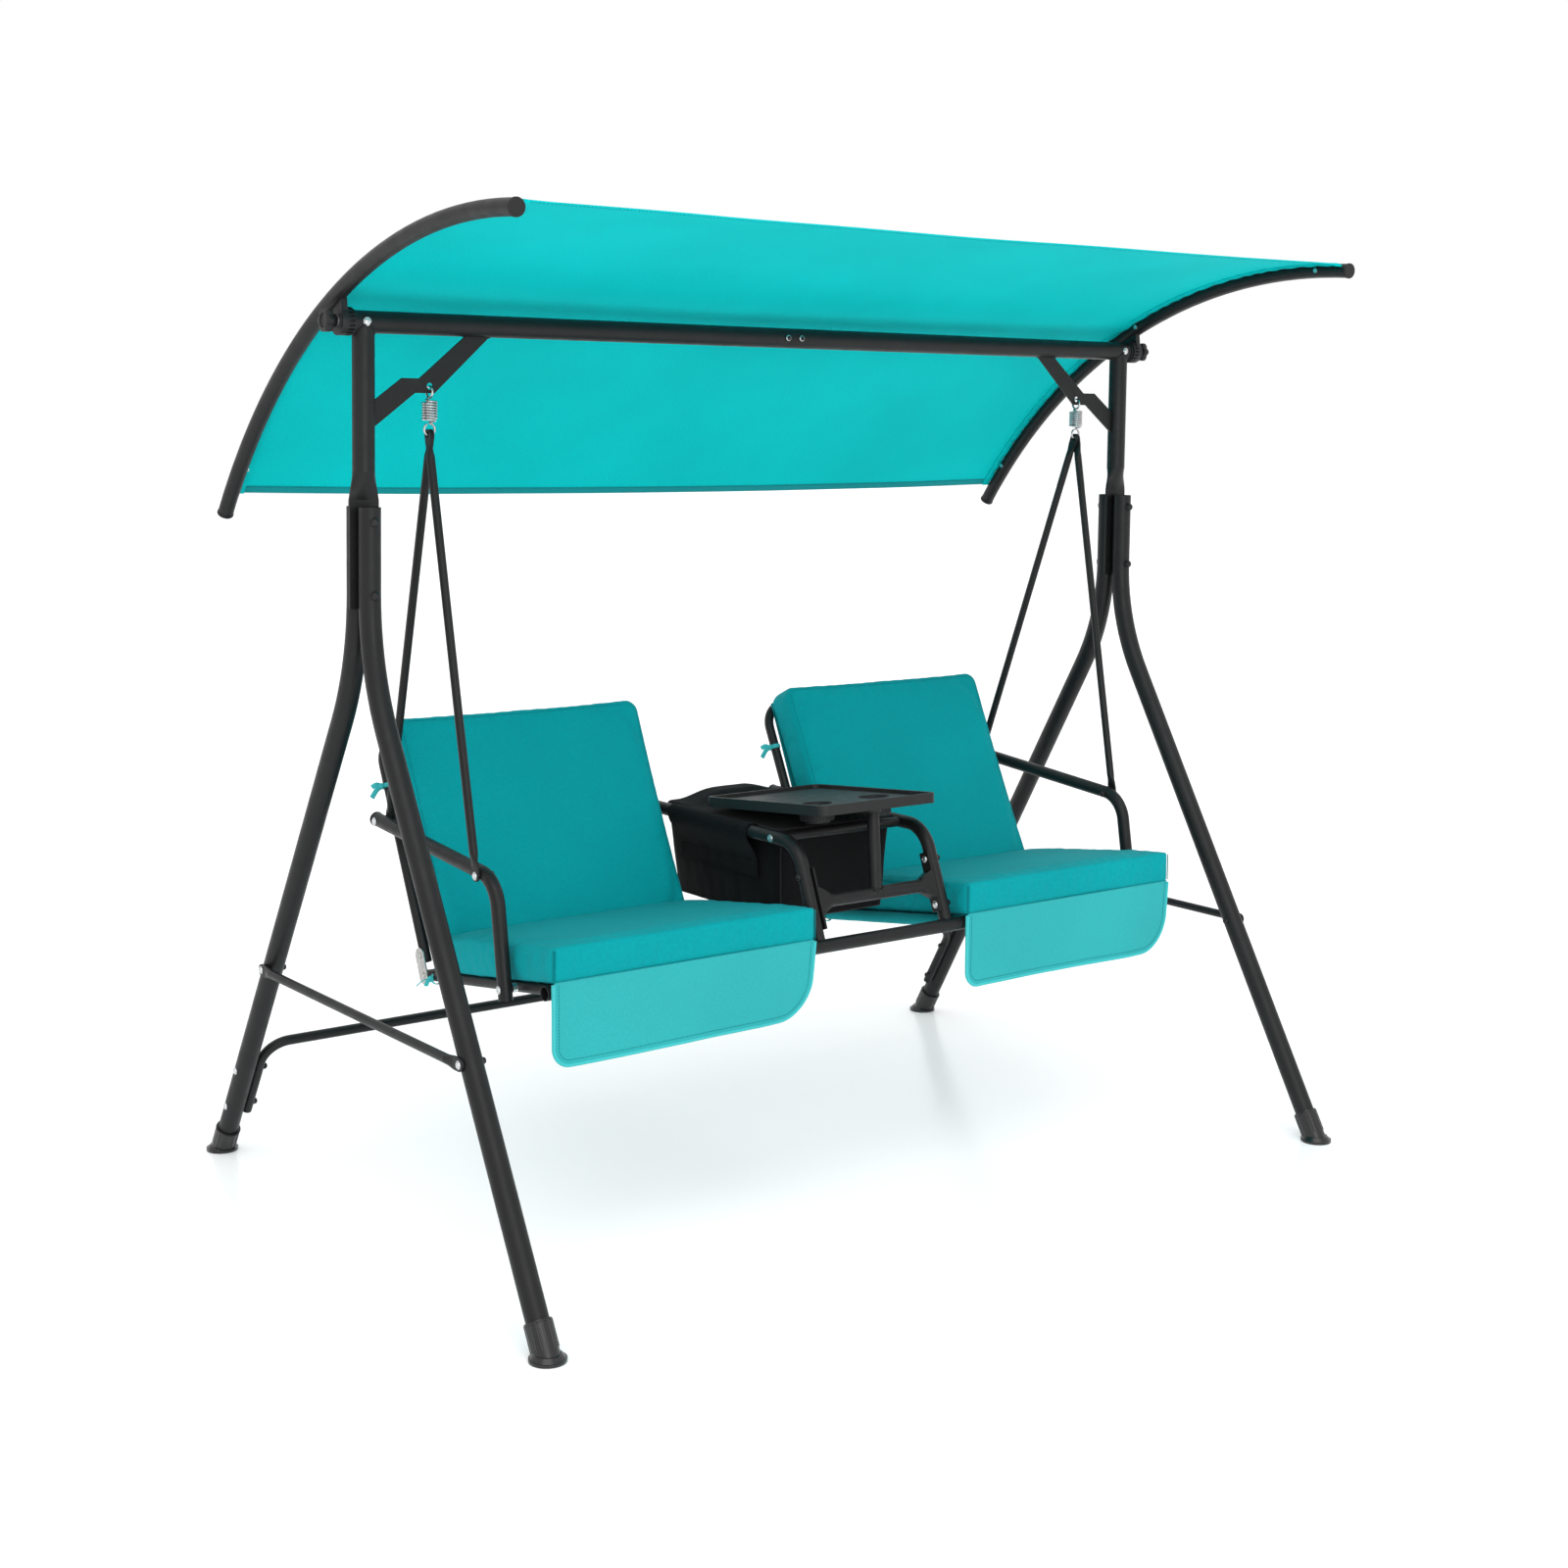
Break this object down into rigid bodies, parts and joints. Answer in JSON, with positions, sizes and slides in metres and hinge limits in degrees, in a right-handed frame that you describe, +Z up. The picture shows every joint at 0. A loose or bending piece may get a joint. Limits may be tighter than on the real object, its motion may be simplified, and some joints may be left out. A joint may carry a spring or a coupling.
{
  "type": "glider swing",
  "caption": "Patio swing: side-by-side cushioned seats hung on springs from a leg frame, with a tilting fabric canopy, swivel tray and storage bag.",
  "frame": {"origin": "on the floor, midway between the four feet", "axes": "+X along the crossbar, -Y the way the sitters face, +Z up"},
  "size_m": [1.936, 1.268, 1.7479],
  "materials": {
    "black_frame": "satin powder coat",
    "zinc_fasteners": "zinc plated",
    "spring_wire": "bright zinc plated",
    "zinc_plate": "zinc plated",
    "black_plastic": "matt moulded",
    "tray_plastic": "fine grained, matt",
    "canopy_cloth": "woven polyester",
    "cushion_cloth": "woven polyester, piped",
    "sling_cloth": "woven polyester",
    "bag_cloth": "coated polyester"
  },
  "bodies": {
    "stand": {"leg_front_left": "black_frame", "leg_front_right": "black_frame", "leg_rear_left": "black_frame", "leg_rear_right": "black_frame", "foot_front_left": "black_plastic", "foot_front_right": "black_plastic", "foot_rear_left": "black_plastic", "foot_rear_right": "black_plastic", "post_left": "black_frame", "post_right": "black_frame", "gusset_left": "black_frame", "gusset_right": "black_frame", "crossbar_left": "black_frame", "crossbar_right": "black_frame", "side_brace_left": "black_frame", "side_brace_right": "black_frame", "leg_bolts": "zinc_fasteners", "brace_bolts": "zinc_fasteners", "rear_stretcher": "black_frame", "crossbar_bolts": "zinc_fasteners", "fixed_hubs": "black_plastic", "clamp_bolts": "zinc_fasteners"},
    "canopy": {"canopy_arm_left": "black_frame", "canopy_arm_right": "black_frame", "canopy_hubs": "black_plastic", "canopy_arm_caps": "black_plastic", "canopy_fabric": "canopy_cloth", "canopy_screws": "zinc_fasteners"},
    "knob_left": {"knob_left": "black_plastic"},
    "knob_right": {"knob_right": "black_plastic"},
    "spring_pivot": {"spring_left": "spring_wire", "spring_right": "spring_wire"},
    "hanging_seat": {"armrest_caps": "black_plastic", "armrest_inner_left": "black_frame", "armrest_inner_right": "black_frame", "armrest_outer_left": "black_frame", "armrest_outer_right": "black_frame", "back_cushion_left": "cushion_cloth", "back_cushion_right": "cushion_cloth", "back_frame_left": "black_frame", "back_frame_right": "black_frame", "bag": "bag_cloth", "bag_bar": "black_frame", "bag_lid": "bag_cloth", "front_rail": "black_frame", "hanger_front_left": "black_frame", "hanger_front_right": "black_frame", "hanger_rear_left": "black_frame", "hanger_rear_right": "black_frame", "hinge_plates": "zinc_plate", "seat_bolts": "zinc_fasteners", "seat_cushion_left": "cushion_cloth", "seat_cushion_right": "cushion_cloth", "seat_frame_left": "black_frame", "seat_frame_right": "black_frame", "sling_left": "sling_cloth", "sling_right": "sling_cloth", "tray_stand": "black_frame"},
    "tray": {"tray": "tray_plastic"}
  },
  "joints": [
    {"name": "swing", "type": "hinge", "parent": "stand", "child": "spring_pivot", "pos_m": [0, 0, 1.475], "axis": [1, 0, 0], "range_deg": [-20, 20]},
    {"name": "spring_bounce", "type": "slide", "parent": "spring_pivot", "child": "hanging_seat", "axis": [0, 0, -1], "range_m": [0, 0.02], "stiffness_N_per_m": 70000, "springref_m": -0.0065, "deforming": ["spring_left", "spring_right"]},
    {"name": "canopy_tilt", "type": "hinge", "parent": "stand", "child": "canopy", "pos_m": [0, 0, 1.58], "axis": [1, 0, 0], "range_deg": [-30, 30]},
    {"name": "knob_left_turn", "type": "hinge", "parent": "stand", "child": "knob_left", "pos_m": [-0.955, 0, 1.58], "axis": [1, 0, 0], "continuous": true},
    {"name": "knob_right_turn", "type": "hinge", "parent": "stand", "child": "knob_right", "pos_m": [0.955, 0, 1.58], "axis": [1, 0, 0], "continuous": true},
    {"name": "tray_swivel", "type": "hinge", "parent": "hanging_seat", "child": "tray", "pos_m": [0, -0.275, 0.711], "axis": [0, 0.0958, 0.9954], "range_deg": [-100, 100]}
  ]
}
